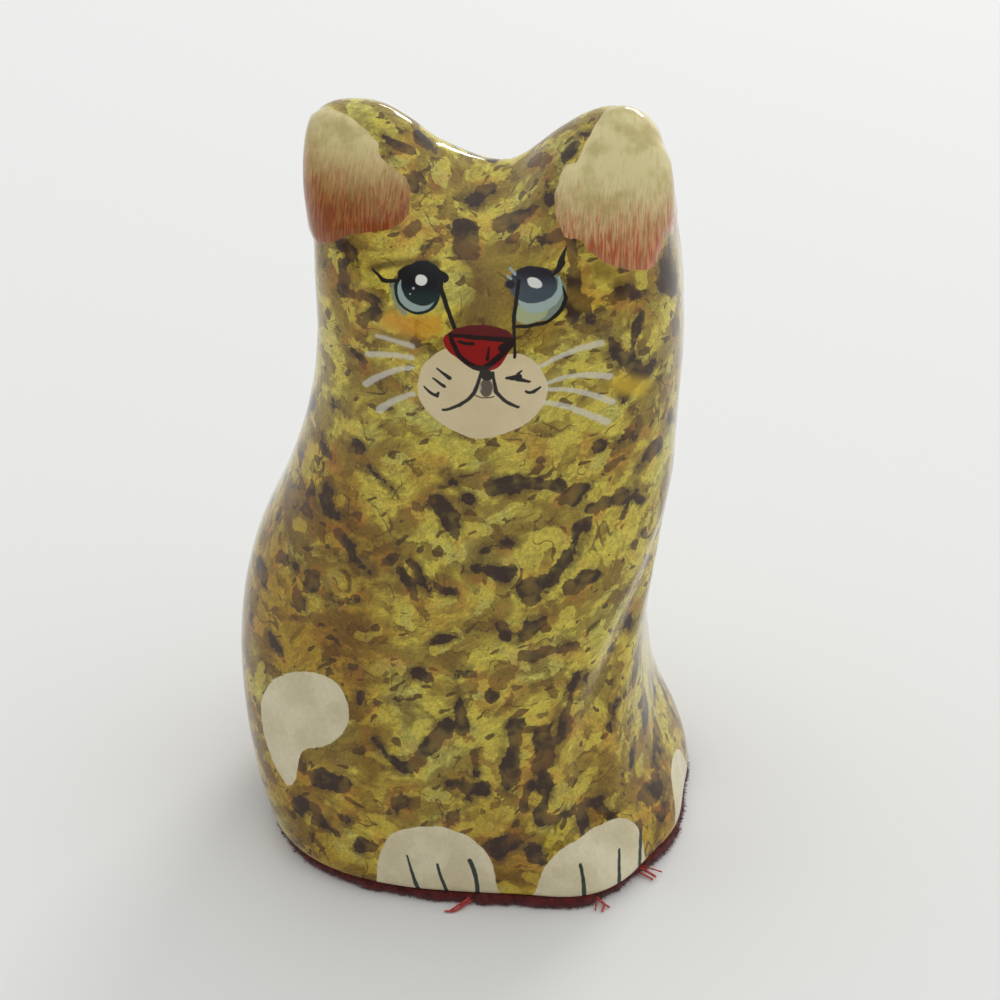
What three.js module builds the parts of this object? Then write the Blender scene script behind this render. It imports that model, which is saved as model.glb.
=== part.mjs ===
// Papier-mache cat ornament: a seated cat moulded in one piece, painted and lacquered, on a glued red felt pad.
// Millimetres, +Z up. The face looks along -Y, the cat's own left side is +X, and the pad rests on z = 0.
import * as THREE from 'three';

// ---- sizes ----
const FELT_THICKNESS = 1.2;
const FELT_MARGIN = 0.15; // the pad is cut a hair larger than the foot it is glued to
const HEAD_CENTRE_Z = 58.0; // level rays are cast below this height, a fan of rising rays above it
const RAYS_AROUND = 104;
const LEVEL_RINGS = 27;
const FAN_RINGS = 17;
const FARTHEST = 45.0; // longer than any ray needs
const RAY_HALVINGS = 24;

// Level sections of the trunk: height, reach towards -X, +X, -Y and +Y, then how square the corners are.
const SECTIONS = [
  [0.0, 22.2, 20.6, 22.6, 19.5, 2.7],
  [5.0, 23.9, 19.4, 22.3, 21.5, 2.7],
  [12.0, 25.2, 17.6, 20.4, 22.8, 2.6],
  [21.0, 25.5, 16.7, 18.8, 22.0, 2.5],
  [30.0, 23.8, 17.7, 17.6, 19.4, 2.5],
  [38.0, 20.3, 18.9, 16.7, 17.0, 2.5],
  [46.0, 17.7, 19.3, 15.8, 15.4, 2.5],
  [54.0, 16.4, 19.6, 15.6, 14.8, 2.6],
  [62.0, 16.3, 19.2, 15.2, 14.2, 2.8],
  [68.0, 16.5, 18.2, 13.2, 12.4, 2.8],
  [73.0, 16.8, 17.2, 9.2, 8.8, 2.9],
  [78.0, 16.7, 16.0, 4.4, 4.8, 3.0],
  [84.0, 16.4, 15.0, 1.0, 1.6, 3.0],
];

// The ridge that joins the ears: x, then its height. It dips to a saddle between them.
const RIDGE = [
  [-22.0, 81.6], [-17.0, 81.0], [-14.5, 79.9], [-12.1, 78.1], [-7.8, 75.9], [-4.9, 74.2], [-2.0, 72.9], [0.3, 72.2],
  [2.3, 72.2], [4.0, 73.1], [5.2, 74.2], [8.1, 76.3], [10.5, 78.3], [12.6, 79.4], [16.0, 79.5], [22.0, 79.0],
];
const RIDGE_RADIUS = 2.0; // how round the ridge is from front to back
const FALL_FORWARD = 0.4; // how steeply the head falls off in front of the ridge, and behind it
const FALL_BACK = 0.68;
const RIDGE_ROUNDING = 5.0;

// Rounded masses moulded on to the trunk: centre, radii, lean about X in degrees, then how softly they blend in.
const MASSES = [
  { name: 'haunch', centre: [12.6, 1.5, 1.5], radii: [8.9, 13.5, 9.2], lean: 0, blend: 3.0 },
  { name: 'hind paw', centre: [16.6, -7.0, 1.0], radii: [4.6, 7.0, 5.4], lean: 0, blend: 2.0 },
  { name: 'left front paw', centre: [10.4, -13.0, 0.5], radii: [7.6, 9.2, 6.6], lean: 0, blend: 2.5 },
  { name: 'right front paw', centre: [-4.2, -12.0, 0.5], radii: [6.2, 8.6, 6.6], lean: 0, blend: 2.5 },
];
const FACE_MASSES = [
  { name: 'muzzle', centre: [1.3, -12.9, 56.9], radii: [6.8, 4.9, 6.2], lean: 0, blend: 3.0 },
  { name: 'right ear', centre: [-10.8, -3.6, 71.6], radii: [4.7, 3.4, 7.0], lean: -42, blend: 3.0 },
  { name: 'left ear', centre: [12.0, -3.8, 71.2], radii: [5.1, 3.4, 7.4], lean: -42, blend: 3.0 },
];

// The crease between the left front leg and the haunch: a soft furrow run along this curve.
const CREASE = [
  [20.6, -2.0, 35.0], [18.4, -7.6, 30.0], [15.6, -12.2, 24.0], [13.8, -15.3, 19.5], [13.0, -17.4, 14.5],
  [13.6, -18.6, 9.5], [16.4, -19.0, 5.6],
];
const CREASE_RADIUS = 1.9;
const CREASE_BLEND = 2.4;
const CREASE_STEPS = 28;

// ---- small maths ----

// A smooth curve through rows of [position, value, ...], read at one position and one column.
function readCurve(rows, at, column) {
  const last = rows.length - 1;
  const x = Math.min(Math.max(at, rows[0][0]), rows[last][0]);
  let i = 0;
  while (i < last - 1 && x > rows[i + 1][0]) i += 1;
  const slopeAt = (k) => {
    const before = rows[Math.max(k - 1, 0)];
    const after = rows[Math.min(k + 1, last)];
    return (after[column] - before[column]) / (after[0] - before[0]);
  };
  const span = rows[i + 1][0] - rows[i][0];
  const t = (x - rows[i][0]) / span;
  const here = rows[i][column];
  const next = rows[i + 1][column];
  return (1 + 2 * t) * (1 - t) ** 2 * here + t * (1 - t) ** 2 * span * slopeAt(i)
    + t * t * (3 - 2 * t) * next + t * t * (t - 1) * span * slopeAt(i + 1);
}

// The smaller of two distances, with the corner where they meet rounded over a width.
function blendMin(a, b, width) {
  const h = Math.min(Math.max(0.5 + (0.5 * (b - a)) / width, 0), 1);
  return b + (a - b) * h - width * h * (1 - h);
}

function blendMax(a, b, width) {
  return -blendMin(-a, -b, width);
}

function massDistance(p, { centre, radii, lean }) {
  const angle = THREE.MathUtils.degToRad(lean);
  const x = p.x - centre[0];
  const dy = p.y - centre[1];
  const dz = p.z - centre[2];
  const y = Math.cos(angle) * dy + Math.sin(angle) * dz;
  const z = -Math.sin(angle) * dy + Math.cos(angle) * dz;
  const k0 = Math.hypot(x / radii[0], y / radii[1], z / radii[2]);
  const k1 = Math.hypot(x / radii[0] ** 2, y / radii[1] ** 2, z / radii[2] ** 2);
  return k1 > 1e-9 ? (k0 * (k0 - 1)) / k1 : -Math.min(...radii);
}

const creasePoints = new THREE.CatmullRomCurve3(
  CREASE.map(([x, y, z]) => new THREE.Vector3(x, y, z)), false, 'catmullrom', 0.5,
).getPoints(CREASE_STEPS);

function creaseDistance(p) {
  const nearest = new THREE.Vector3();
  let best = Infinity;
  for (let i = 0; i < CREASE_STEPS; i += 1) {
    new THREE.Line3(creasePoints[i], creasePoints[i + 1]).closestPointToPoint(p, true, nearest);
    best = Math.min(best, nearest.distanceTo(p));
  }
  return best - CREASE_RADIUS;
}

// ---- the figure, as a rough distance from its skin: negative inside ----

function trunkDistance(p) {
  const reachX = readCurve(SECTIONS, p.z, p.x < 0 ? 1 : 2);
  const reachY = readCurve(SECTIONS, p.z, p.y < 0 ? 3 : 4);
  const power = readCurve(SECTIONS, p.z, 5);
  const q = (Math.abs(p.x / reachX) ** power + Math.abs(p.y / reachY) ** power) ** (1 / power);
  const side = (q - 1) * Math.min(reachX, reachY);
  const slope = readCurve(RIDGE, p.x + 0.5, 1) - readCurve(RIDGE, p.x - 0.5, 1);
  const fall = (p.y < 0 ? FALL_FORWARD : FALL_BACK) * (Math.hypot(p.y, RIDGE_RADIUS) - RIDGE_RADIUS);
  const top = (p.z + fall - readCurve(RIDGE, p.x, 1)) / Math.hypot(1, slope, FALL_FORWARD);
  return blendMax(side, top, RIDGE_ROUNDING);
}

function figureDistance(p) {
  let d = trunkDistance(p);
  for (const mass of MASSES) d = blendMin(d, massDistance(p, mass), mass.blend);
  d = blendMax(d, -creaseDistance(p), CREASE_BLEND);
  for (const mass of FACE_MASSES) d = blendMin(d, massDistance(p, mass), mass.blend);
  return d;
}

// How far a ray from a point on the upright axis runs before it leaves the figure.
function rayReach(start, direction) {
  let inside = 0;
  let outside = FARTHEST;
  const p = new THREE.Vector3();
  for (let i = 0; i < RAY_HALVINGS; i += 1) {
    const middle = (inside + outside) / 2;
    p.copy(start).addScaledVector(direction, middle);
    if (figureDistance(p) < 0) inside = middle;
    else outside = middle;
  }
  return inside;
}

// ---- meshes ----

// A closed skin over rings of equal length, with a fan on the first ring and another on the last.
function closedSkin(rings, firstPole, lastPole) {
  const around = rings[0].length;
  const points = [...rings.flat(), firstPole, lastPole];
  const foot = points.length - 2;
  const crown = points.length - 1;
  const index = [];
  for (let k = 0; k < rings.length - 1; k += 1) {
    for (let i = 0; i < around; i += 1) {
      const a = k * around + i;
      const b = k * around + ((i + 1) % around);
      index.push(a, b, b + around, a, b + around, a + around);
    }
  }
  const top = (rings.length - 1) * around;
  for (let i = 0; i < around; i += 1) {
    const j = (i + 1) % around;
    index.push(j, i, foot, top + i, top + j, crown);
  }
  const geometry = new THREE.BufferGeometry().setFromPoints(points);
  geometry.setIndex(index);
  geometry.computeVertexNormals();
  return geometry;
}

function namedMesh(name, geometry, colour, roughness) {
  const material = new THREE.MeshStandardMaterial({ color: colour, roughness, metalness: 0 });
  material.name = name;
  const mesh = new THREE.Mesh(geometry, material);
  mesh.name = name;
  return mesh;
}

function figureRing(start, rise) {
  const ring = [];
  for (let i = 0; i < RAYS_AROUND; i += 1) {
    const turn = (2 * Math.PI * i) / RAYS_AROUND;
    const direction = new THREE.Vector3(
      Math.cos(rise) * Math.sin(turn), -Math.cos(rise) * Math.cos(turn), Math.sin(rise),
    );
    ring.push(start.clone().addScaledVector(direction, rayReach(start, direction)));
  }
  return ring;
}

function catBody() {
  const rings = [];
  for (let k = 0; k <= LEVEL_RINGS; k += 1) {
    const z = FELT_THICKNESS + ((HEAD_CENTRE_Z - FELT_THICKNESS) * k) / LEVEL_RINGS;
    rings.push(figureRing(new THREE.Vector3(0, 0, z), 0));
  }
  const headCentre = new THREE.Vector3(0, 0, HEAD_CENTRE_Z);
  for (let k = 1; k < FAN_RINGS; k += 1) rings.push(figureRing(headCentre, (Math.PI / 2) * (k / FAN_RINGS)));
  const up = new THREE.Vector3(0, 0, 1);
  const crown = headCentre.clone().addScaledVector(up, rayReach(headCentre, up));
  return closedSkin(rings, new THREE.Vector3(0, 0, FELT_THICKNESS), crown);
}

function feltPad() {
  const foot = figureRing(new THREE.Vector3(0, 0, FELT_THICKNESS), 0);
  const ringAt = (z) => foot.map((p) => {
    const grow = 1 + FELT_MARGIN / Math.hypot(p.x, p.y);
    return new THREE.Vector3(p.x * grow, p.y * grow, z);
  });
  const rings = [ringAt(0), ringAt(FELT_THICKNESS)];
  return closedSkin(rings, new THREE.Vector3(0, 0, 0), new THREE.Vector3(0, 0, FELT_THICKNESS));
}

const cat = new THREE.Group();
cat.name = 'papier_mache_cat';
cat.add(namedMesh('cat_body', catBody(), 0x9a8238, 0.3));
cat.add(namedMesh('felt_pad', feltPad(), 0x8c2025, 0.95));

export default cat;
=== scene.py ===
"""Papier-mache cat ornament on a red felt pad. Metres, +Z up; it faces -Y, and its own left is +X."""

import math

import bmesh
import bpy
import numpy as np
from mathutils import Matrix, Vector
from mathutils.bvhtree import BVHTree


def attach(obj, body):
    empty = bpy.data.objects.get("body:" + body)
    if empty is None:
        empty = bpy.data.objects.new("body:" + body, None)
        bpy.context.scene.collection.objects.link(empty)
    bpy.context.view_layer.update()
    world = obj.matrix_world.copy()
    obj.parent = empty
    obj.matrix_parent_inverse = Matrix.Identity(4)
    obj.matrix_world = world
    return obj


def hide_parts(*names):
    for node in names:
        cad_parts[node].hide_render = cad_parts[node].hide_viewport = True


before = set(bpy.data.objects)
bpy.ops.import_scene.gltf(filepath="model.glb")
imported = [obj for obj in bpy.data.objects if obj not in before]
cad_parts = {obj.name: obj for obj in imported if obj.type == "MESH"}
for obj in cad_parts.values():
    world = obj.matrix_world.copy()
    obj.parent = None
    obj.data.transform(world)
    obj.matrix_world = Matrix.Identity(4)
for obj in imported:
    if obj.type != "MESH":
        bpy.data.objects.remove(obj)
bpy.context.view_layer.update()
MM = 0.001


# ---------------------------------------------------------------- the moulded body
# One hollow form of paper pulp, pressed in a mould and smoothed by hand: a seated cat with raised ear pads
# and a soft furrow between its left front leg and its haunch. The pulp leaves faint lumps in the skin.

CROWN_CONE = (58.0, 0.325)  # tip in mm, slope: in it the pole's thin faces are laid again as a square grid
DROP_FROM = 0.2  # m: higher than the head
FOOT_RIM = (1.1, 1.1)  # mm: two rings inside the foot, so that only its rim is rounded
SKIN_LEVELS = 2
LUMP_WAVES = 36
LUMP_LENGTHS = (3.0, 16.0)  # mm
LUMP_HEIGHT = 0.0042  # of each wave's length
LUMP_FOOT = (1.3, 1.5)  # mm: where the lumps begin, and the climb over which they reach their full height

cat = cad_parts["cat_body"]


def merged_copy(source):
    """A copy of a node's mesh with its loose triangles joined into one skin of quads."""
    skin = bmesh.new()
    skin.from_mesh(source.data)
    bmesh.ops.remove_doubles(skin, verts=skin.verts, dist=1e-6)
    steep = math.radians(60)
    bmesh.ops.join_triangles(
        skin, faces=skin.faces, angle_face_threshold=steep, angle_shape_threshold=steep
    )
    return skin


def relay_crown(skin):
    """Swaps the fan of thin faces at the crown for a square grid dropped on to the same surface."""
    surface = BVHTree.FromBMesh(skin)
    tip, slope = CROWN_CONE
    inside = [v for v in skin.verts if v.co.xy.length < slope * (v.co.z - tip * MM)]
    bmesh.ops.delete(skin, geom=inside, context="VERTS")
    rim = {v for e in skin.edges if e.is_boundary for v in e.verts}
    rim = sorted(rim, key=lambda v: math.atan2(v.co.y, v.co.x))
    side = len(rim) // 4
    grid = {}
    for k in range(side):
        grid[k, 0] = rim[k]
        grid[side, k] = rim[side + k]
        grid[side - k, side] = rim[2 * side + k]
        grid[0, side - k] = rim[3 * side + k]
    for i in range(1, side):
        for j in range(1, side):
            u = i / side
            v = j / side
            across = (1 - v) * grid[i, 0].co + v * grid[i, side].co
            along = (1 - u) * grid[0, j].co + u * grid[side, j].co
            low = (1 - u) * grid[0, 0].co + u * grid[side, 0].co
            high = (1 - u) * grid[0, side].co + u * grid[side, side].co
            place = across + along - (1 - v) * low - v * high
            hit = surface.ray_cast(Vector((place.x, place.y, DROP_FROM)), Vector((0, 0, -1)))[0]
            grid[i, j] = skin.verts.new(hit or place)
    for i in range(side):
        for j in range(side):
            skin.faces.new((grid[i, j], grid[i + 1, j], grid[i + 1, j + 1], grid[i, j + 1]))


def ramp(value, low, high):
    """A soft step from 0 to 1 as value goes from low to high."""
    t = np.clip((value - low) / (high - low), 0, 1)
    return t * t * (3 - 2 * t)


def placed(name, data):
    """A new object in the scene."""
    made = bpy.data.objects.new(name, data)
    bpy.context.scene.collection.objects.link(made)
    return made


def plain_mesh(holder, name):
    """The mesh that an object's modifiers make, as a new object at the origin."""
    bpy.context.view_layer.update()
    shaped = holder.evaluated_get(bpy.context.evaluated_depsgraph_get())
    mesh = bpy.data.meshes.new_from_object(shaped)
    mesh.name = name
    bpy.data.objects.remove(holder)
    return placed(name, mesh)


def read_points(mesh):
    """The mesh's points in millimetres."""
    flat = np.empty(len(mesh.vertices) * 3, np.float32)
    mesh.vertices.foreach_get("co", flat)
    return flat.reshape(-1, 3).astype(float) / MM


def read_normals(mesh):
    flat = np.empty(len(mesh.vertices) * 3, np.float32)
    mesh.vertex_normals.foreach_get("vector", flat)
    return flat.reshape(-1, 3).astype(float)


skin = merged_copy(cat)
relay_crown(skin)
foot_height = min(v.co.z for v in skin.verts)
for width in FOOT_RIM:
    sole = [f for f in skin.faces if all(v.co.z - foot_height < 1e-6 for v in f.verts) and len(f.verts) == 3]
    bmesh.ops.inset_region(skin, faces=sole, thickness=width * MM, use_even_offset=True)
blank = bpy.data.meshes.new("cat_blank")
skin.to_mesh(blank)
skin.free()
holder = placed("cat_blank", blank)
smooth = holder.modifiers.new("smooth", "SUBSURF")
smooth.levels = SKIN_LEVELS
smooth.render_levels = SKIN_LEVELS
body = plain_mesh(holder, "painted_cat")
body.data.polygons.foreach_set("use_smooth", [True] * len(body.data.polygons))


def ripples(places, seed, waves, lengths, height):
    """Random low waves through space, each one's height a share of its length."""
    dice = np.random.default_rng(seed)
    total = np.zeros(len(places))
    for _ in range(waves):
        length = lengths[0] * (lengths[1] / lengths[0]) ** dice.random()
        heading = dice.normal(size=3)
        heading *= 2 * math.pi / length / np.linalg.norm(heading)
        total += height * length / math.sqrt(waves) * np.sin(places @ heading + 6.3 * dice.random())
    return total


def raise_skin(places, heights):
    """Moves the skin outwards by heights in millimetres."""
    places += read_normals(body.data) * heights[:, None]
    body.data.vertices.foreach_set("co", (places * MM).astype(np.float32).ravel())
    body.data.update()


points = read_points(body.data)
lumps = ripples(points, 11, LUMP_WAVES, LUMP_LENGTHS, LUMP_HEIGHT)
raise_skin(points, lumps * np.clip((points[:, 2] - LUMP_FOOT[0]) / LUMP_FOOT[1], 0, 1))
normals = read_normals(body.data)


# ---------------------------------------------------------------- where the painter put the patches
# The cream patches, ear linings and dark coat marks are painted shapes with brushed edges. Each is kept on
# the skin as a distance from its edge in millimetres, so that its edge stays sharp at any size.

EAR_BACK = 0.9  # mm: the ear linings stop where the ear turns to the back
EAR_RISE = 0.34  # mm: how far the thick lining paint stands off the coat
EAR_RIM = (-0.15, 0.75)  # mm: where that rise begins and ends, inside the edge
FAR = 9.0  # mm: distances are kept no larger than this
FLANK = (0.87, -0.49)  # the way across, x and y, as the right flank is seen
LEAN = (0.87, 0.5)  # the way up, z and y, as the top of the head is seen
MARK_WEIGHT = 1.15  # how much broader the front's marks are laid than their half widths
TRIES = 9000  # places tried for each kind of strewn mark
LIE = (12, 28)  # degrees: the slope of the strewn marks, and how far it swings from side to side


def closed_curve(corners, steps=9):
    """A closed smooth line through given corners."""
    corners = np.array(corners, float)
    before, after, beyond = (np.roll(corners, shift, 0) for shift in (1, -1, -2))
    line = []
    for t in np.linspace(0, 1, steps, endpoint=False):
        line.append(
            0.5 * (2 * corners + (after - before) * t
                   + (2 * before - 5 * corners + 4 * after - beyond) * t * t
                   + (3 * corners - before - 3 * after + beyond) * t ** 3)
        )
    return np.stack(line, 1).reshape(-1, 2)


def patch_distance(flat, corners):
    """Distance of flat points from a closed line, negative inside it."""
    line = closed_curve(corners)
    best = np.full(len(flat), 1e9)
    inside = np.zeros(len(flat), bool)
    for a, b in zip(line, np.roll(line, -1, 0)):
        run = b - a
        t = np.clip((flat - a) @ run / (run @ run), 0, 1)
        best = np.minimum(best, np.linalg.norm(flat - a - t[:, None] * run, axis=1))
        crosses = (a[1] > flat[:, 1]) != (b[1] > flat[:, 1])
        if a[1] != b[1]:
            at = a[0] + (flat[:, 1] - a[1]) * run[0] / run[1]
            inside ^= crosses & (flat[:, 0] < at)
    return np.where(inside, -best, best)


def stroke_distance(places, stops, widths):
    """Distance from a brush mark that runs through stops, with its half widths from one end to the other."""
    stops = np.array(stops, float)
    widths = np.interp(np.linspace(0, 1, len(stops)), np.linspace(0, 1, len(widths)), widths)
    best = np.full(len(places), 1e9)
    for k in range(len(stops) - 1):
        run = stops[k + 1] - stops[k]
        t = np.clip((places - stops[k]) @ run / max(run @ run, 1e-9), 0, 1)
        gap = np.linalg.norm(places - stops[k] - t[:, None] * run, axis=1)
        best = np.minimum(best, gap - widths[k] - (widths[k + 1] - widths[k]) * t)
    return best


def keep(name, values):
    """Keeps one value for each point of the body, for its material."""
    layer = body.data.attributes.new(name, "FLOAT", "POINT")
    layer.data.foreach_set("value", np.clip(values, -FAR, FAR).astype(np.float32))


def past(distance):
    """Nothing up to an edge, then a steep rise that ends a patch there."""
    return np.maximum(distance, 0) * 3


x, y, z = points.T
front = points[:, [0, 2]]
behind = past(y + 4.0)

MUZZLE = [
    (-4.6, 56.4), (-3.9, 58.5), (-1.9, 60.3), (1.0, 60.6), (3.8, 60.2), (5.0, 60.1), (6.4, 59.2), (7.4, 57.4),
    (7.6, 55.7), (6.8, 53.7), (4.9, 52.0), (1.2, 50.6), (-1.2, 51.3), (-3.4, 52.8), (-4.5, 54.4),
]
keep("muzzle", patch_distance(front, MUZZLE) + behind)

NOSE = [
    (-2.2, 61.1), (-1.6, 61.7), (-0.7, 62.2), (1.2, 62.6), (3.0, 62.4), (4.1, 61.9), (4.4, 61.1), (3.8, 59.9),
    (3.0, 58.9), (1.7, 58.6), (0.6, 58.8), (-0.8, 59.6), (-1.8, 60.2),
]
keep("nose", patch_distance(front, NOSE) + behind)

RIGHT_FRONT_PAW = [
    (-8.4, 5.4), (-7.0, 7.6), (-3.4, 8.6), (0.1, 8.0), (2.5, 6.0), (3.4, 2.7), (3.6, -1.0), (-8.0, -1.0),
    (-8.8, 2.6),
]
LEFT_FRONT_PAW = [
    (7.5, 2.3), (8.3, 4.7), (10.2, 6.5), (13.5, 7.0), (15.9, 6.7), (17.4, 4.5), (18.1, 1.8), (18.0, -1.0),
    (7.2, -1.0),
]
HIND_PAW = [(-9.6, 1.5), (-6.0, 5.4), (-1.4, 6.0), (0.6, 3.0), (0.4, -1.0), (-9.6, -1.0)]
on_left = past(17.6 - x)
paws = np.minimum(patch_distance(front, RIGHT_FRONT_PAW), patch_distance(front, LEFT_FRONT_PAW)) + behind
keep("paws", np.minimum(paws, patch_distance(points[:, [1, 2]], HIND_PAW) + on_left))

TAIL_TIP = [
    (-12.8, 16.8), (-10.8, 20.2), (-7.4, 22.4), (-3.9, 22.8), (-2.0, 20.9), (-1.6, 18.2), (-3.3, 15.6),
    (-6.6, 13.6), (-7.1, 10.3), (-8.4, 9.2), (-11.2, 11.3), (-12.6, 13.8),
]
flank = np.stack([FLANK[0] * x + FLANK[1] * y, z], 1)
on_right = past(x + 9.0)
keep("tail_tip", patch_distance(flank, TAIL_TIP) + on_right + behind)

# The ears are painted as seen from a little above: across, and up along a plane that leans back.
leaning = np.stack([x, LEAN[0] * z + LEAN[1] * y], 1)
RIGHT_EAR = [
    (-17.6, 66.4), (-15.4, 66.7), (-13.3, 66.3), (-12.1, 65.5), (-10.7, 64.4), (-9.6, 63.4), (-9.3, 62.4),
    (-8.4, 61.4), (-7.6, 60.7), (-6.5, 59.4), (-6.1, 57.9), (-6.3, 56.5), (-7.1, 55.4), (-8.5, 54.8),
    (-11.7, 54.3), (-13.4, 53.8), (-14.8, 53.9), (-16.2, 54.8), (-18.4, 57.0), (-18.8, 62.0),
]
LEFT_EAR = [
    (13.2, 68.5), (11.9, 67.8), (10.9, 66.2), (10.1, 64.3), (9.2, 62.4), (8.3, 62.1), (7.9, 61.2),
    (7.7, 59.7), (7.5, 57.3), (8.2, 56.1), (8.9, 55.0), (10.1, 54.6), (11.0, 53.7), (12.6, 52.9),
    (14.5, 52.4), (16.2, 52.6), (17.2, 53.9), (17.7, 55.5), (18.7, 58.0), (18.4, 61.6), (17.5, 64.2),
    (16.6, 66.2), (14.9, 68.1),
]
ears = np.minimum(patch_distance(leaning, RIGHT_EAR), patch_distance(leaning, LEFT_EAR))
ears = np.maximum(ears, y - EAR_BACK) + ripples(points, 17, 24, (1.6, 5.0), 0.045)
keep("ears", ears)
pads = ramp(-ears, *EAR_RIM)
raise_skin(points, EAR_RISE * pads)
normals = read_normals(body.data)

# The dark marks of the coat, over the chest and shoulders: stops across and up, then the half widths.
CHEST_MARKS = [
    ([(-15, 47), (-15.5, 43)], 0.2, 0.3),
    ([(-16, 42), (-16, 41), (-17, 38.5)], 0.45, 0.15),
    ([(-14.5, 42.5), (-14.2, 40), (-13.5, 39.3), (-11.5, 40.5)], 0.6, 0.45),
    ([(-13, 38.5), (-12, 37.4), (-11.2, 36), (-9.8, 35), (-8.3, 36), (-7.3, 37.2)], 0.55, 0.45),
    ([(-18, 34), (-17.8, 32.6)], 0.45, 0.45),
    ([(-15.8, 32.4), (-15.8, 32)], 0.8, 0.8),
    ([(-17, 29.9), (-16.8, 29.7)], 0.55, 0.55),
    ([(-13.6, 31.6), (-13, 30.8), (-11.4, 32)], 0.45, 0.35),
    ([(-14, 24.2), (-14, 23.6)], 0.4, 0.4),
    ([(-11.6, 24.5), (-11, 24.6)], 0.5, 0.5),
    ([(-7.5, 25.5), (-6.5, 25.6), (-3.7, 24.8)], 0.5, 0.15),
    ([(-3.2, 43.4), (-1.6, 42), (-1.1, 39.7)], 0.5, 0.6),
    ([(-5, 42.7), (-4.7, 42.7)], 0.5, 0.5),
    ([(-9.7, 46), (-8.4, 45), (-6.8, 43.8)], 0.55, 0.45),
    ([(-10.9, 47.7), (-10.9, 46.8)], 0.4, 0.4),
    ([(-6.6, 35.7), (-5.8, 34.5), (-5, 33)], 0.25, 0.2),
    ([(-5.6, 37), (-3.5, 33.4)], 0.2, 0.2),
    ([(-3.6, 34.6), (-0.6, 33.6)], 0.2, 0.2),
    ([(-3, 28.5), (-0.3, 29.3)], 0.25, 0.15),
    ([(2.3, 45), (3.9, 45.6), (5.4, 45.8), (8.4, 45.3)], 0.7, 0.5),
    ([(0, 44), (0.2, 44)], 0.7, 0.7),
    ([(0, 44), (-2, 46.7)], 0.3, 0.15),
    ([(9.5, 43.8), (11.3, 44.8)], 0.45, 0.35),
    ([(6.7, 48), (6.9, 48.2)], 0.65, 0.65),
    ([(1.2, 36.5), (2.6, 36.2), (4.2, 36.2)], 0.7, 0.65),
    ([(1.7, 38.5), (3.8, 39.5)], 0.45, 0.25),
    ([(10.9, 40.7), (9.9, 39), (9.3, 37), (8.3, 35.5), (6.3, 34.3)], 0.4, 0.45),
    ([(6.1, 34.4), (6.4, 34.1)], 1.0, 1.0),
    ([(10, 34.3), (12.2, 34.9)], 0.4, 0.3),
    ([(12, 42.5), (14.2, 43), (16.8, 41.2)], 0.45, 0.3),
    ([(12.2, 48.5), (13.7, 49)], 0.45, 0.35),
    ([(13.3, 46.5), (15.2, 47.5)], 0.25, 0.15),
]

# The same over the belly and legs, down to the pad.
BELLY_MARKS = [
    ([(3.1, 31), (3.7, 29.6)], 0.55, 0.6),
    ([(5.7, 29.3), (7.2, 30.7)], 0.65, 0.5),
    ([(5.3, 27), (8, 27.5), (10.9, 27.4)], 0.6, 0.45),
    ([(2.5, 22.9), (2.7, 22.9)], 0.9, 0.9),
    ([(-0.1, 24.8), (0.3, 24.8)], 0.45, 0.45),
    ([(4.7, 23.7), (6, 23.8)], 0.35, 0.3),
    ([(-9.4, 17.8), (-8.9, 16.5), (-7.5, 15.3), (-6.3, 14.5), (-4.9, 15.2), (-3.4, 17), (-2, 19.5)],
     0.5, 0.55),
    ([(-15.5, 11), (-12.5, 11.6)], 0.65, 0.55),
    ([(-6.6, 11), (-5.9, 10.9)], 0.9, 0.7),
    ([(-1.1, 13.2), (0.5, 12.9), (2.2, 12.4)], 0.7, 0.6),
    ([(-1.5, 9.5), (-1, 9.6)], 0.6, 0.6),
    ([(-15.4, 6.8), (-12.5, 6)], 0.35, 0.25),
    ([(-12, 7.9), (-11.8, 8)], 0.45, 0.45),
    ([(-0.2, 20), (-0.2, 19)], 0.35, 0.35),
    ([(-1, 24.9), (-0.5, 21)], 0.45, 0.35),
    ([(0.9, 16.7), (1, 14.5)], 0.25, 0.2),
    ([(-10.8, 21.7), (-10.8, 20.5), (-6.8, 21.7)], 0.25, 0.15),
    ([(-17.8, 7.8), (-15.4, 8.4)], 0.3, 0.2),
    ([(-10.7, 5.4), (-8.6, 6)], 0.3, 0.25),
    ([(5.1, 19.6), (4.8, 17), (4.4, 13.2)], 0.5, 0.65),
    ([(7.5, 18.6), (7.7, 15.3)], 0.6, 0.55),
    ([(6.4, 12.7), (5.9, 10.8)], 0.6, 0.5),
    ([(7.8, 13), (8.2, 12), (7.6, 9.6)], 0.6, 0.5),
    ([(3.2, 6.8), (5.3, 7.6)], 0.65, 0.5),
    ([(7, 6.3), (8, 5.5)], 0.4, 0.3),
    ([(9, 9.4), (10.6, 9.5)], 0.4, 0.3),
    ([(11.7, 9), (12, 7.5)], 0.55, 0.5),
    ([(12.9, 9), (14.8, 7.3)], 0.6, 0.5),
    ([(10.6, 24), (9.9, 20), (9.6, 17.8)], 0.4, 0.35),
    ([(16.7, 15), (18.9, 9)], 0.4, 0.3),
    ([(17.5, 7.5), (19.9, 4.3)], 0.45, 0.35),
]

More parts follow.
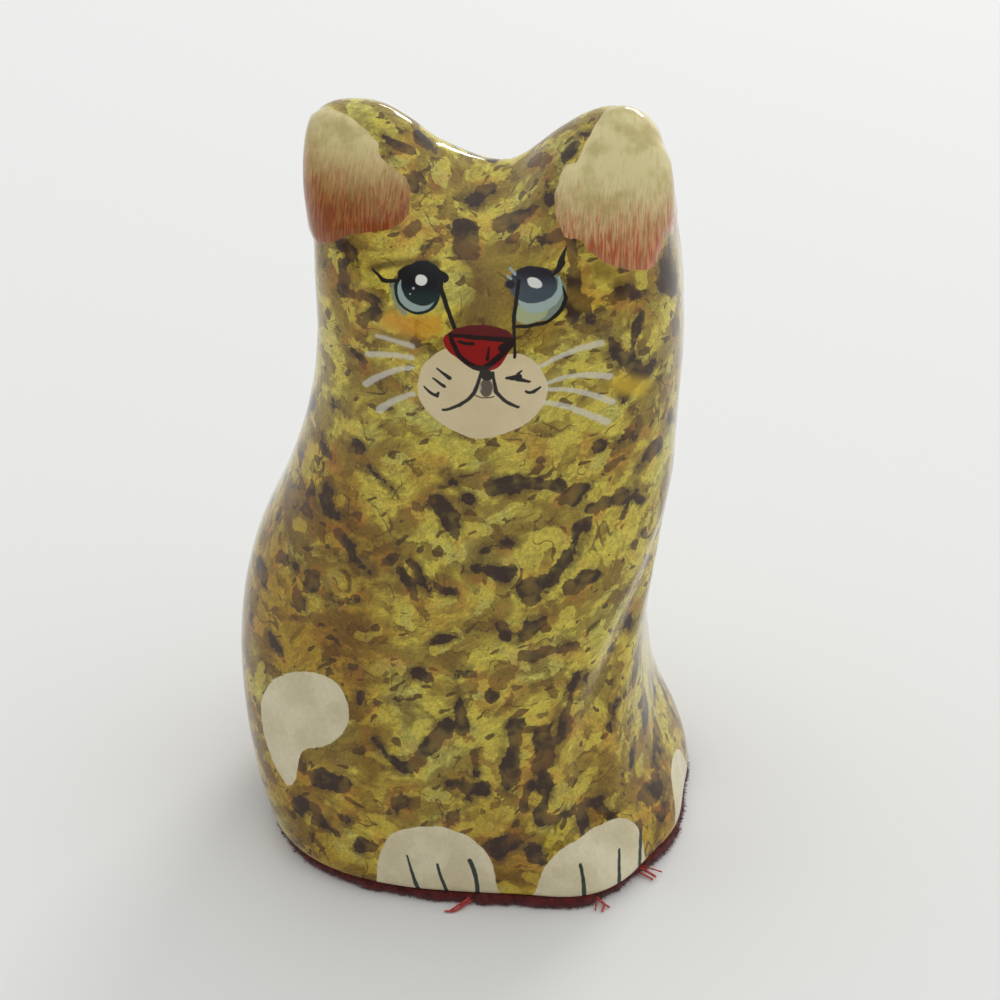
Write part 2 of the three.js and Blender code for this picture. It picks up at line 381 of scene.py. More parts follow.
# And on the face, round the eyes and under the ears.
FACE_MARKS = [
    ([(9.3, 69.6), (9.5, 67.0), (9.9, 62.8)], 0.35, 0.6),
    ([(11.0, 64.0), (11.3, 62.6), (12.2, 61.4), (13.0, 61.0)], 0.35, 0.3),
    ([(12.7, 63.6), (13.9, 64.2), (15.8, 63.9)], 0.25, 0.35),
    ([(13.3, 60.5), (14.1, 58.7), (15.2, 56.9)], 0.35, 0.75),
    ([(15.4, 60.4), (15.4, 57.6)], 0.3, 0.45),
    ([(-12.4, 66.3), (-12.0, 63.4), (-10.4, 63.6), (-8.8, 63.7)], 0.3, 0.5),
    ([(-8.8, 63.7), (-9.2, 62.3), (-10.0, 61.0)], 0.4, 0.3),
    ([(-4.8, 62.2), (-4.9, 61.2), (-4.8, 60.2)], 0.12, 0.16),
    ([(-12.7, 58.8), (-11.3, 58.0), (-9.9, 56.8)], 0.2, 0.3),
    ([(-6.0, 56.9), (-5.8, 55.2)], 0.35, 0.3),
]

# The dots of the forehead, seen along the leaning plane, and the strokes in the hollows beside the ears: dark
# paint and painted shade.
CROWN_MARKS_AND_SHADE = [
    ([(-0.5, 58.5), (-0.4, 58.5)], 0.85, 0.85),
    ([(-1.7, 55.6), (-1.1, 55.6)], 0.8, 0.8),
    ([(2.4, 56.0), (3.4, 56.4)], 0.7, 0.6),
    ([(-5.9, 54.9), (-5.2, 55.6)], 0.6, 0.5),
    ([(-1.4, 53.9), (-0.7, 53.5)], 0.65, 0.7),
    ([(0.9, 60.7), (1.3, 60.7)], 0.3, 0.25),
    # Partly painted shade: the strokes that follow along the ears' inner edges darken the hollows there, over
    # dark paint.
    ([(-11.9, 65.9), (-10.4, 65.0), (-8.9, 63.9), (-7.6, 63.2), (-6.6, 63.3)], 0.45, 0.5),
    ([(-8.4, 62.3), (-7.2, 61.0), (-5.8, 59.2)], 0.25, 0.4),
    ([(10.6, 67.2), (9.6, 65.3), (8.6, 63.6), (7.6, 61.9)], 0.5, 0.4),
    ([(6.2, 63.2), (5.5, 62.1), (6.5, 60.5), (6.8, 58.6)], 0.45, 0.35),
    ([(4.4, 55.0), (6.5, 54.8), (8.4, 55.2)], 0.35, 0.35),
    ([(-12.2, 53.6), (-11.4, 52.6), (-12.4, 51.3)], 0.6, 0.4),
    ([(17.9, 54.6), (18.4, 53.6), (18.2, 51.6)], 0.6, 0.7),
    ([(-6.2, 60.9), (-5.0, 59.9), (-3.9, 59.9)], 0.35, 0.25),
]

dark = np.full(len(points), FAR)
for stops, start, end in CHEST_MARKS + BELLY_MARKS + FACE_MARKS:
    widths = (start * MARK_WEIGHT, end * MARK_WEIGHT)
    dark = np.minimum(dark, stroke_distance(front, stops, widths) + behind)
for stops, start, end in CROWN_MARKS_AND_SHADE:
    dark = np.minimum(dark, stroke_distance(leaning, stops, (start, end)) + behind / 2)


def strew(best, seed, spacing, reaches, half_widths, wander, where):
    """Lays short brush marks over the skin at random, about a spacing apart, mostly along the coat's lie."""
    scatter = np.random.default_rng(seed)
    centres = np.empty((0, 3))
    for index in scatter.permutation(len(points))[:TRIES]:
        place = points[index]
        if not where(place) or (len(centres) and np.linalg.norm(centres - place, axis=1).min() < spacing):
            continue
        centres = np.vstack([centres, place])
        across = np.cross((0, 0, 1), normals[index])
        across /= np.linalg.norm(across) + 1e-6
        upward = np.cross(normals[index], across)
        round_turn = math.atan2(place[0], -place[1])
        slope = math.radians(LIE[0] + LIE[1] * math.sin(round_turn) + wander * scatter.normal())
        along = math.cos(slope) * across + math.sin(slope) * upward
        aside = np.cross(normals[index], along)
        reach = scatter.uniform(*reaches)
        middle = place + aside * scatter.uniform(-0.4, 0.4) * reach
        broad = scatter.uniform(*half_widths)
        widths = (broad * scatter.uniform(0.3, 1.0), broad, broad * scatter.uniform(0.3, 1.0))
        near = np.abs(points - place).max(1) < reach + broad + 1.5
        stops = [place - along * reach, middle, place + along * reach]
        best[near] = np.minimum(best[near], stroke_distance(points[near], stops, widths))
    return best


def anywhere(place):
    return True


def round_the_back(place):
    return place[2] > 2 and (place[1] > -12 or abs(place[0]) > 17)


# Broad washes and light touches lie all round; the sides and the back get dark marks like those of the front.
washes = np.full(len(points), FAR)
lights = np.full(len(points), FAR)
keep("wash_marks", strew(washes, 41, 3.6, (1.0, 3.4), (0.35, 1.0), 30, anywhere))
keep("light_marks", strew(lights, 43, 3.9, (0.4, 2.2), (0.35, 0.95), 35, anywhere))
keep("coat_marks_and_shade", strew(dark, 29, 4.8, (0.2, 2.4), (0.35, 0.8), 45, round_the_back))


# ---------------------------------------------------------------- the coat of mottled paint
# A pale yellow-green ground is dabbed over with thin washes of olive and brown that dry with darker edges,
# then flicked with dark strokes, and the whole is sealed in thick clear lacquer.


def paint(red, green, blue):
    """A paint given as on a colour card, from 0 to 255, in the shader's own linear numbers."""
    mixed = []
    for value in (red, green, blue):
        share = value / 255
        mixed.append(share / 12.92 if share <= 0.04045 else ((share + 0.055) / 1.055) ** 2.4)
    return (*mixed, 1.0)


def feed(tree, node, inputs):
    """Sets or wires a node's inputs, by name or number."""
    for key, value in dict(inputs).items():
        if isinstance(value, bpy.types.NodeSocket):
            tree.links.new(value, node.inputs[key])
        else:
            node.inputs[key].default_value = value
    return node


def put(tree, kind, inputs=(), **settings):
    """Adds a node, with its settings and its inputs."""
    made = tree.nodes.new(kind)
    for key, value in settings.items():
        setattr(made, key, value)
    return feed(tree, made, inputs)


def maths(tree, operation, *values):
    return put(tree, "ShaderNodeMath", enumerate(values), operation=operation).outputs[0]


def times(tree, *values):
    product = values[0]
    for value in values[1:]:
        product = maths(tree, "MULTIPLY", product, value)
    return product


def arrows(tree, operation, *values, scale=None):
    inputs = dict(enumerate(values))
    if scale is not None:
        inputs["Scale"] = scale
    made = put(tree, "ShaderNodeVectorMath", inputs, operation=operation)
    scalar = operation in ("LENGTH", "DOT_PRODUCT", "DISTANCE")
    return made.outputs["Value" if scalar else "Vector"]


def noise_pair(tree, where, scale, detail=2.0, rough=0.5, bend=0.0):
    """Cloudy noise from 0 to 1, as a value and as a vector."""
    inputs = {"Vector": where, "Scale": scale, "Detail": detail, "Roughness": rough, "Distortion": bend}
    return put(tree, "ShaderNodeTexNoise", inputs).outputs


def noise(tree, *settings):
    return noise_pair(tree, *settings)[0]


def waver(tree, *settings):
    """Noise as a value about zero."""
    return maths(tree, "SUBTRACT", noise(tree, *settings), 0.5)


def drift(tree, *settings):
    """Noise as a vector about zero."""
    return arrows(tree, "SUBTRACT", noise_pair(tree, *settings)[1], (0.5, 0.5, 0.5))


def step(tree, value, low, high, before=0.0, after=1.0):
    """A soft step from one value to another as value goes from low to high."""
    inputs = {"Value": value, "From Min": low, "From Max": high, "To Min": before, "To Max": after}
    return put(tree, "ShaderNodeMapRange", inputs, interpolation_type="SMOOTHSTEP").outputs[0]


def over(tree, under, top, mask, blend="MIX"):
    """Paint laid over paint, through a mask."""
    made = put(tree, "ShaderNodeMix", {0: mask, 6: under, 7: top}, data_type="RGBA", blend_type=blend)
    return made.outputs[2]


def new_group(name, inputs, outputs):
    """An empty shader group with its named sockets, and its two end nodes."""
    tree = bpy.data.node_groups.new(name, "ShaderNodeTree")
    for title, kind, value in inputs:
        socket = tree.interface.new_socket(title, in_out="INPUT", socket_type="NodeSocket" + kind)
        socket.default_value = value
    for title, kind in outputs:
        tree.interface.new_socket(title, in_out="OUTPUT", socket_type="NodeSocket" + kind)
    return tree, tree.nodes.new("NodeGroupInput").outputs, tree.nodes.new("NodeGroupOutput").inputs


def place_group(tree, group, inputs):
    return put(tree, "ShaderNodeGroup", inputs, node_tree=group).outputs


def new_material(name):
    """A material, with its node tree and its surface shader."""
    material = bpy.data.materials.new(name)
    material.use_nodes = True
    return material, material.node_tree, material.node_tree.nodes["Principled BSDF"]


# The mottled ground: from a point in millimetres, and the distances from the washes and the light touches, to
# the coat's colour before the dark marks go on.
mottled_coat, given, result = new_group(
    "MottledCoat",
    [
        ("Point", "Vector", (0, 0, 0)),
        ("Slant", "Float", math.radians(30)),
        ("Wash Distance", "Float", 9.0),
        ("Light Distance", "Float", 9.0),
        ("Light", "Color", paint(216, 198, 78)),
        ("Pale", "Color", paint(208, 198, 96)),
        ("Ochre", "Color", paint(200, 168, 64)),
        ("Rust", "Color", paint(182, 122, 54)),
        ("Wash", "Color", paint(128, 100, 36)),
        ("Deep Wash", "Color", paint(84, 60, 28)),
    ],
    [("Color", "Color")],
)
tree = mottled_coat
swirl = drift(tree, given["Point"], 0.08, 1.0)
ragged = drift(tree, given["Point"], 0.5, 2.0)
swept = arrows(tree, "ADD", given["Point"], arrows(tree, "SCALE", swirl, scale=9.0))
swept = arrows(tree, "ADD", swept, arrows(tree, "SCALE", ragged, scale=1.2))
slanted = {"Vector": swept, "Angle": given["Slant"]}
turned = put(tree, "ShaderNodeVectorRotate", slanted, rotation_type="Y_AXIS").outputs[0]
lie = arrows(tree, "MULTIPLY", turned, (0.5, 0.7, 1.0))

hue = noise(tree, given["Point"], 0.13, 3.0)
ground = over(tree, given["Light"], given["Pale"], step(tree, hue, 0.46, 0.38))
ground = over(tree, ground, given["Ochre"], step(tree, hue, 0.54, 0.64))
brushed = noise(tree, lie, 1.5, 4.0, 0.65)
ground = over(tree, ground, step(tree, brushed, 0.32, 0.68, 0.74, 1.1), 1.0, "MULTIPLY")
bristled = noise(tree, arrows(tree, "MULTIPLY", turned, (1.0, 3.0, 5.5)), 0.9, 3.0, 0.6)
ground = over(tree, ground, step(tree, bristled, 0.35, 0.65, 0.84, 1.08), 1.0, "MULTIPLY")

cloud = noise(tree, lie, 0.24, 4.0, 0.58, 0.3)
speckle = noise(tree, given["Point"], 3.2, 2.0, 0.7)
cloud = maths(tree, "MULTIPLY_ADD", maths(tree, "SUBTRACT", speckle, 0.5), 0.05, cloud)
tone = over(tree, ground, given["Wash"], times(tree, step(tree, cloud, 0.45, 0.56), 0.72))

rusty = noise(tree, lie, 0.16, 2.0)
tone = over(tree, tone, given["Rust"], times(tree, step(tree, rusty, 0.6, 0.72), 0.24))

ripple = waver(tree, given["Point"], 0.75, 4.0, 0.62)
wash_edge = maths(tree, "MULTIPLY_ADD", ripple, 2.6, given["Wash Distance"])
stipple = waver(tree, given["Point"], 3.6, 2.0, 0.8)
wash_edge = maths(tree, "MULTIPLY_ADD", stipple, 0.9, wash_edge)
depth = noise(tree, given["Point"], 0.3, 2.0)
wash_mask = times(tree, step(tree, wash_edge, 0.16, -0.12), step(tree, depth, 0.3, 0.65, 0.25, 0.85))
tone = over(tree, tone, given["Wash"], wash_mask)
pooled = step(tree, maths(tree, "ABSOLUTE", maths(tree, "SUBTRACT", wash_edge, -0.1)), 0.0, 0.16, 0.5, 0.0)
tone = over(tree, tone, given["Deep Wash"], times(tree, pooled, step(tree, depth, 0.4, 0.6)))

light_edge = maths(tree, "MULTIPLY_ADD", ripple, -2.4, given["Light Distance"])
light_paint = over(tree, given["Light"], given["Pale"], step(tree, depth, 0.52, 0.6))
tone = over(tree, tone, light_paint, times(tree, step(tree, light_edge, 0.06, -0.06), 0.72))

lines = noise(tree, arrows(tree, "ADD", swept, (7.0, 3.0, 40.0)), 0.3, 1.0)
thin = step(tree, maths(tree, "ABSOLUTE", maths(tree, "SUBTRACT", lines, 0.5)), 0.005, 0.016, 1.0, 0.0)
gate = step(tree, noise(tree, given["Point"], 0.4, 1.0), 0.53, 0.6)
tone = over(tree, tone, given["Deep Wash"], times(tree, times(tree, thin, gate), 0.7))
seeds = arrows(tree, "MULTIPLY", turned, (0.55, 1.0, 1.3))
flecks = step(tree, noise(tree, seeds, 0.9, 0.0), 0.72, 0.745)
tone = over(tree, tone, given["Deep Wash"], times(tree, flecks, 0.85))
tone = over(tree, tone, step(tree, speckle, 0.3, 0.7, 0.82, 1.12), 1.0, "MULTIPLY")
grain = step(tree, noise(tree, given["Point"], 4.4, 1.0, 0.6), 0.6, 0.66)
grain = times(tree, grain, step(tree, depth, 0.46, 0.6, 0.12, 0.5))
tone = over(tree, tone, given["Deep Wash"], grain)
tree.links.new(tone, result["Color"])

lacquered, tree, surface = new_material("lacquered_paint")
place = put(tree, "ShaderNodeTexCoord").outputs["Object"]
point = arrows(tree, "SCALE", place, scale=1 / MM)


def kept(name):
    return put(tree, "ShaderNodeAttribute", attribute_name=name, attribute_type="GEOMETRY").outputs["Fac"]


coat = place_group(
    tree,
    mottled_coat,
    {"Point": point, "Wash Distance": kept("wash_marks"), "Light Distance": kept("light_marks")},
)
colour = coat["Color"]

# The coat is darkened over the lower part of the cat's right side and, more thinly, towards the foot.
across, inward, height = put(tree, "ShaderNodeSeparateXYZ", {0: point}).outputs
darker_right_side = times(tree, step(tree, across, -4.5, -12.0), step(tree, height, 52.0, 38.0))
patchy = noise(tree, point, 0.14, 3.0)
darker_right_side = times(tree, darker_right_side, step(tree, patchy, 0.36, 0.54, 0.35, 1.0))
darker_foot = times(tree, step(tree, height, 17.0, 8.0), step(tree, patchy, 0.4, 0.6, 0.25, 0.8))
colour = over(tree, colour, paint(214, 190, 140), maths(tree, "MAXIMUM", darker_right_side, darker_foot), "MULTIPLY")

# Dark marks: an orange stain creeps out of some, their edges are ragged, and one side fades to brown.
wobble = waver(tree, point, 0.8, 4.0, 0.62)
sway = waver(tree, point, 0.3, 1.0)
mark_edge = maths(tree, "MULTIPLY_ADD", wobble, 1.7, kept("coat_marks_and_shade"))
mark_edge = maths(tree, "MULTIPLY_ADD", sway, 2.6, mark_edge)
mark_tone = noise(tree, point, 0.42, 2.0)
stain = times(tree, step(tree, mark_edge, 1.9, 0.0), step(tree, mark_tone, 0.5, 0.62))
colour = over(tree, colour, paint(196, 120, 48), times(tree, stain, 0.3))
skirt = times(tree, step(tree, mark_edge, 0.9, 0.1), step(tree, mark_tone, 0.54, 0.42))
colour = over(tree, colour, paint(98, 74, 34), times(tree, skirt, 0.66))
mark_colour = over(tree, paint(54, 35, 27), paint(84, 58, 32), step(tree, mark_tone, 0.45, 0.62))
mark_grain = noise(tree, point, 2.2, 3.0, 0.7)
mark_colour = over(tree, mark_colour, paint(98, 74, 44), step(tree, mark_grain, 0.52, 0.75, 0.0, 0.55))
mark_mask = times(tree, step(tree, mark_edge, 0.1, -0.1), step(tree, mark_tone, 0.35, 0.7, 0.97, 0.74))
colour = over(tree, colour, mark_colour, mark_mask)

fine_wobble = waver(tree, point, 0.6, 3.0, 0.6)


def patch(name, rough, soft=0.05):
    edge = maths(tree, "MULTIPLY_ADD", fine_wobble, rough, kept(name))
    return step(tree, edge, soft, -soft)


worn = step(tree, noise(tree, point, 0.3, 3.0), 0.35, 0.65)
cream = over(tree, paint(226, 216, 184), paint(212, 201, 166), worn)
mealy = step(tree, noise(tree, point, 2.6, 3.0, 0.7), 0.3, 0.7, 0.93, 1.03)
cream = over(tree, cream, mealy, 1.0, "MULTIPLY")
colour = over(tree, colour, cream, patch("tail_tip", 0.5))
colour = over(tree, colour, cream, patch("paws", 0.4))
colour = over(tree, colour, over(tree, cream, paint(226, 204, 158), 0.6), patch("muzzle", 0.25))

# The ear linings: olive cream above, pulled down in long streaks into brick red, duller on the right ear.
streak_lie = arrows(tree, "MULTIPLY", point, (2.6, 0.6, 0.2))
bristles = noise(tree, streak_lie, 1.0, 3.0, 0.65)
fine_bristles = noise(tree, arrows(tree, "MULTIPLY", point, (5.5, 1.0, 0.35)), 1.0, 2.0, 0.6)
level = maths(tree, "MULTIPLY_ADD", maths(tree, "SUBTRACT", bristles, 0.5), 8.0, height)
level = maths(tree, "MULTIPLY_ADD", maths(tree, "SUBTRACT", fine_bristles, 0.5), 3.5, level)
level = maths(tree, "MULTIPLY_ADD", across, 0.07, level)
thick = step(tree, noise(tree, point, 0.35, 3.0), 0.35, 0.6)
ear_cream = over(tree, paint(194, 180, 118), paint(222, 209, 152), thick)
ear_red = over(tree, paint(172, 92, 56), paint(206, 142, 96), step(tree, fine_bristles, 0.42, 0.62))
lining = over(tree, ear_red, ear_cream, step(tree, level, 68.6, 75.2))
under_coat = times(tree, step(tree, bristles, 0.52, 0.66), step(tree, level, 76.5, 71.5, 0.15, 0.6))
lining = over(tree, lining, paint(150, 122, 66), under_coat)
dull = times(tree, step(tree, across, 2.0, -2.0), step(tree, height, 77.0, 70.5, 0.15, 1.0))
lining = over(tree, lining, paint(206, 184, 140), dull, "MULTIPLY")
colour = over(tree, colour, lining, patch("ears", 0.3))


# ---------------------------------------------------------------- the painted face, whiskers and toes
# The face is drawn with a fine brush over the dry coat: glassy eyes, a red nose, black mouth lines and
# flecks, then long white whiskers and dark toe lines. Places are given across and up, in millimetres.

brush_stroke, given, result = new_group(
    "BrushStroke",
    [
        ("Point", "Vector", (0, 0, 0)),
        ("Start", "Vector", (0, 0, 0)),
        ("End", "Vector", (1, 0, 0)),
        ("Start Width", "Float", 0.2),
        ("End Width", "Float", 0.2),
        ("Bend", "Float", 0.0),
        ("Softness", "Float", 0.05),
    ],
    [("Mask", "Float")],
)
group = brush_stroke
run = arrows(group, "SUBTRACT", given["End"], given["Start"])
gap = arrows(group, "SUBTRACT", given["Point"], given["Start"])
share = maths(group, "DIVIDE", arrows(group, "DOT_PRODUCT", gap, run), arrows(group, "DOT_PRODUCT", run, run))
share = put(group, "ShaderNodeClamp", {0: share}).outputs[0]
bow = times(group, share, maths(group, "SUBTRACT", 1.0, share))
bow = times(group, bow, times(group, given["Bend"], 4.0))
aside = arrows(group, "NORMALIZE", arrows(group, "CROSS_PRODUCT", run, (0, 1, 0)))
bowed = arrows(group, "SCALE", aside, scale=bow)
centre = arrows(group, "ADD", arrows(group, "SCALE", run, scale=share), bowed)
width = maths(group, "SUBTRACT", given["End Width"], given["Start Width"])
width = maths(group, "MULTIPLY_ADD", width, share, given["Start Width"])
reach = maths(group, "SUBTRACT", arrows(group, "DISTANCE", gap, centre), width)
outer = times(group, given["Softness"], -1.0)
group.links.new(step(group, reach, given["Softness"], outer), result["Mask"])

paint_dab, given, result = new_group(
    "PaintDab",
    [
        ("Point", "Vector", (0, 0, 0)),
        ("Centre", "Vector", (0, 0, 0)),
        ("Radii", "Vector", (1, 1, 1)),
        ("Turn", "Float", 0.0),
        ("Softness", "Float", 0.05),
    ],
    [("Mask", "Float")],
)
group = paint_dab
gap = arrows(group, "SUBTRACT", given["Point"], given["Centre"])
turned = put(group, "ShaderNodeVectorRotate", {"Vector": gap, "Angle": given["Turn"]}, rotation_type="Y_AXIS")
share = arrows(group, "LENGTH", arrows(group, "DIVIDE", turned.outputs[0], given["Radii"]))
radii = put(group, "ShaderNodeSeparateXYZ", {0: given["Radii"]}).outputs
smaller = maths(group, "MINIMUM", radii[0], radii[2])
reach = times(group, maths(group, "SUBTRACT", share, 1.0), smaller)
outer = times(group, given["Softness"], -1.0)
group.links.new(step(group, reach, given["Softness"], outer), result["Mask"])

shiver = drift(tree, point, 1.1, 2.0)
drawn = arrows(tree, "ADD", point, arrows(tree, "SCALE", shiver, scale=0.22))
flat = arrows(tree, "MULTIPLY", drawn, (1.0, 0.0, 1.0))
depth = put(tree, "ShaderNodeSeparateXYZ", {0: point}).outputs[1]
facing = step(tree, depth, -3.0, -4.0)


def stroke(start, end, start_width, end_width, bend=0.0, soft=0.05):
    """One pull of the brush over the front, from one place to another, given across and up."""
    inputs = {"Point": flat, "Start": (start[0], 0, start[1]), "End": (end[0], 0, end[1])}
    inputs.update({"Start Width": start_width, "End Width": end_width, "Bend": bend, "Softness": soft})
    return place_group(tree, brush_stroke, inputs)["Mask"]


def dab(centre, radii, turn=0.0, soft=0.05):
    """One round or oval touch of the brush on the front."""
    inputs = {"Point": flat, "Centre": (centre[0], 0, centre[1]), "Radii": (radii[0], 1, radii[1])}
    inputs.update({"Turn": turn, "Softness": soft})
    return place_group(tree, paint_dab, inputs)["Mask"]


def together(masks):
    whole = masks[0]
    for mask in masks[1:]:
        whole = maths(tree, "MAXIMUM", whole, mask)
    return whole


def lay(under, top, masks, strength=1.0):
    """Lays one paint on the front through the sum of its brush marks."""
    mask = times(tree, together(masks), facing)
    return over(tree, under, top, times(tree, mask, strength))


up = put(tree, "ShaderNodeSeparateXYZ", {0: flat}).outputs[2]

# the right eye, with a heavy dark lid
shade = [
    stroke((-1.2, 68.0), (1.5, 65.6), 0.5, 0.9, 0.0, 0.9),
    stroke((1.5, 65.6), (0.9, 62.8), 1.3, 1.5, 0.0, 1.2),
]
colour = lay(colour, paint(104, 74, 34), shade, 0.62)
colour = lay(colour, paint(214, 150, 40), [stroke((-7.2, 61.9), (-3.2, 62.1), 0.9, 0.9, -0.3, 0.5)], 0.75)
colour = lay(colour, paint(226, 190, 40), [stroke((14.0, 55.6), (16.0, 54.2), 0.9, 0.9, 0.0, 0.7)], 0.6)
colour = lay(colour, paint(78, 56, 26), [stroke((-9.2, 66.4), (-3.2, 67.0), 0.3, 0.4, 0.45, 0.25)], 0.75)
colour = lay(colour, paint(132, 144, 128), [stroke((-7.1, 65.2), (-6.0, 62.8), 0.32, 0.25, -0.3, 0.12)], 0.8)
colour = lay(colour, paint(24, 42, 38), [dab((-4.85, 64.95), (2.2, 2.15))])
colour = lay(colour, paint(158, 178, 172), [dab((-4.85, 64.85), (1.87, 1.78))])
pupil = over(tree, paint(34, 54, 52), paint(13, 15, 28), step(tree, up, 64.0, 65.6))
colour = lay(colour, pupil, [dab((-4.42, 65.5), (1.98, 1.85))])
lid = [dab((-4.7, 66.25), (2.1, 0.85)), stroke((-3.4, 66.5), (-2.3, 66.0), 0.45, 0.35)]
colour = lay(colour, paint(16, 14, 16), lid)
colour = lay(colour, paint(236, 236, 230), [dab((-4.5, 65.8), (0.55, 0.45))])
colour = lay(colour, paint(190, 198, 196), [dab((-5.2, 65.1), (0.12, 0.1)), dab((-5.5, 64.6), (0.08, 0.07))])

# the left eye, turned a little outward, with a slate iris
colour = lay(colour, paint(128, 144, 128), [dab((7.0, 64.9), (2.1, 2.1), 0.0, 0.1)])
colour = lay(colour, paint(172, 180, 136), [dab((5.9, 63.6), (1.6, 1.0), 0.15, 0.1)])
white = [dab((6.6, 65.0), (2.05, 1.5), 0.2), stroke((8.35, 66.5), (8.5, 65.0), 0.1, 0.16, 0.1)]
colour = lay(colour, paint(164, 184, 178), white)
iris = over(tree, paint(72, 84, 94), paint(34, 34, 44), step(tree, up, 65.2, 66.9))
colour = lay(colour, iris, [dab((6.0, 65.75), (2.25, 1.45), 0.05)])
lid = [stroke((4.5, 66.7), (7.5, 66.9), 0.2, 0.18, 0.35), dab((3.8, 65.7), (0.5, 0.35), 0.0, 0.12)]
colour = lay(colour, paint(34, 30, 42), lid)
colour = lay(colour, paint(232, 234, 228), [dab((6.1, 66.0), (0.7, 0.42), -0.3)])
lashes = [stroke((3.7, 66.9), (4.2, 66.5), 0.1, 0.12), stroke((3.5, 66.3), (3.9, 66.1), 0.08, 0.1)]
colour = lay(colour, paint(156, 176, 186), lashes)

# lids, lashes and the two lines that run down to the nose
colour = lay(
    colour,
    paint(28, 24, 20),
    [
        stroke((-2.8, 65.5), (-1.1, 62.0), 0.22, 0.2),
        stroke((-1.1, 62.0), (-0.7, 60.8), 0.2, 0.16),
        stroke((-9.1, 66.3), (-8.2, 65.6), 0.1, 0.2),
        stroke((-8.2, 65.6), (-6.7, 65.7), 0.22, 0.14, -0.12),
        stroke((4.6, 66.0), (4.35, 63.2), 0.2, 0.17),
        stroke((4.35, 63.2), (4.6, 59.8), 0.18, 0.14),
        stroke((4.4, 62.4), (7.3, 62.6), 0.15, 0.17, -0.08),
        stroke((7.3, 62.6), (9.05, 64.7), 0.18, 0.2, -0.35),
        stroke((9.05, 64.7), (8.75, 65.7), 0.18, 0.08),
        stroke((7.7, 66.7), (8.5, 67.7), 0.12, 0.38, -0.1),
        stroke((8.5, 67.7), (8.9, 68.9), 0.36, 0.06, 0.08),
    ],
)

# the nose, red with dark drawing, and the mouth
nose_red = over(tree, paint(150, 16, 15), paint(96, 20, 20), step(tree, up, 61.2, 61.7))
colour = over(tree, colour, nose_red, patch("nose", 0.15))
colour = lay(
    colour,
    paint(34, 12, 12),
    [
        stroke((-1.3, 61.5), (4.3, 61.3), 0.16, 0.25, 0.12),
        stroke((-1.5, 61.5), (-0.5, 59.8), 0.2, 0.26, -0.1),
        stroke((-0.5, 59.8), (1.7, 58.8), 0.26, 0.28, -0.2),
        stroke((1.7, 58.8), (4.1, 60.9), 0.28, 0.32, -0.12),
        stroke((-0.7, 61.0), (0.7, 61.0), 0.12, 0.16),
        stroke((2.15, 60.7), (2.05, 59.7), 0.1, 0.16),
        stroke((3.3, 60.7), (4.3, 61.2), 0.28, 0.3),
    ],
)
colour = lay(colour, paint(66, 54, 48), [dab((2.0, 56.9), (0.6, 0.95))], 0.9)
colour = lay(colour, paint(190, 180, 162), [dab((1.45, 57.0), (0.13, 0.4), 0.2)], 0.8)
colour = lay(
    colour,
    paint(40, 34, 28),
    [
        stroke((1.5, 58.5), (0.9, 56.4), 0.16, 0.2, 0.05),
        stroke((0.9, 56.4), (-2.2, 53.8), 0.2, 0.16, 0.3),
        stroke((2.6, 58.4), (2.9, 56.5), 0.18, 0.2),
        stroke((2.9, 56.5), (4.9, 54.6), 0.2, 0.18, -0.15),
        stroke((0.9, 56.1), (2.7, 56.0), 0.07, 0.07, -0.2),
        dab((2.05, 58.2), (0.6, 0.55)),
    ],
)
colour = lay(
    colour,
    paint(24, 18, 16),
    [
        stroke((-2.7, 58.3), (-1.5, 57.6), 0.1, 0.22),
        stroke((-3.1, 57.2), (-2.0, 56.6), 0.1, 0.2),
        stroke((-4.0, 56.0), (-2.8, 55.4), 0.12, 0.24, -0.12),
        stroke((-2.8, 55.4), (-2.55, 55.8), 0.2, 0.12),
        stroke((3.9, 57.9), (5.0, 57.9), 0.14, 0.34),
        stroke((5.0, 57.7), (6.0, 57.3), 0.26, 0.14),
        stroke((4.9, 58.2), (5.25, 58.5), 0.16, 0.08),
        stroke((5.7, 56.3), (6.3, 56.1), 0.14, 0.2, -0.1),
        stroke((6.3, 56.1), (6.9, 56.5), 0.2, 0.14),
    ],
)

# white whiskers, thin enough for the coat to show through
colour = lay(
    colour,
    paint(222, 218, 206),
    [
        stroke((-8.7, 60.1), (-5.2, 59.8), 0.2, 0.25, 0.0, 0.15),
        stroke((-9.7, 57.9), (-5.2, 58.7), 0.3, 0.25, 0.1, 0.1),
        stroke((-10.0, 54.6), (-5.2, 57.7), 0.32, 0.22, 0.3, 0.1),
        stroke((-8.6, 52.3), (-5.1, 54.9), 0.36, 0.24, 0.15, 0.1),
        stroke((6.9, 58.6), (12.4, 60.1), 0.22, 0.32, 0.2, 0.1),
        stroke((7.6, 56.8), (13.2, 56.4), 0.2, 0.34, 0.4, 0.08),
        stroke((7.6, 56.1), (13.5, 53.6), 0.2, 0.34, 0.35, 0.08),
        stroke((7.3, 54.7), (13.1, 51.5), 0.24, 0.38, 0.2, 0.08),
    ],
    0.62,
)

# toe lines
colour = lay(
    colour,
    paint(50, 60, 52),
    [
        stroke((-5.7, 5.3), (-4.6, 1.4), 0.1, 0.24),
        stroke((-2.6, 4.6), (-1.6, 1.2), 0.15, 0.22),
        stroke((0.7, 5.3), (1.5, 1.2), 0.24, 0.24, 0.25),
        stroke((11.8, 4.6), (12.3, 1.2), 0.16, 0.24, 0.12),
        stroke((15.5, 4.2), (15.7, 1.3), 0.12, 0.18),
        stroke((17.5, 4.6), (17.6, 1.4), 0.14, 0.14),
    ],
)

# All the shine comes from the clear lacquer over the matt paint.
feed(tree, surface, {"Base Color": colour, "Roughness": 0.5, "Specular IOR Level": 0.0})
feed(tree, surface, {"Coat Weight": 1.0, "Coat Roughness": 0.06, "Coat IOR": 1.4})
body.data.materials.clear()
body.data.materials.append(lacquered)
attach(body, "root")
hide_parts("cat_body")


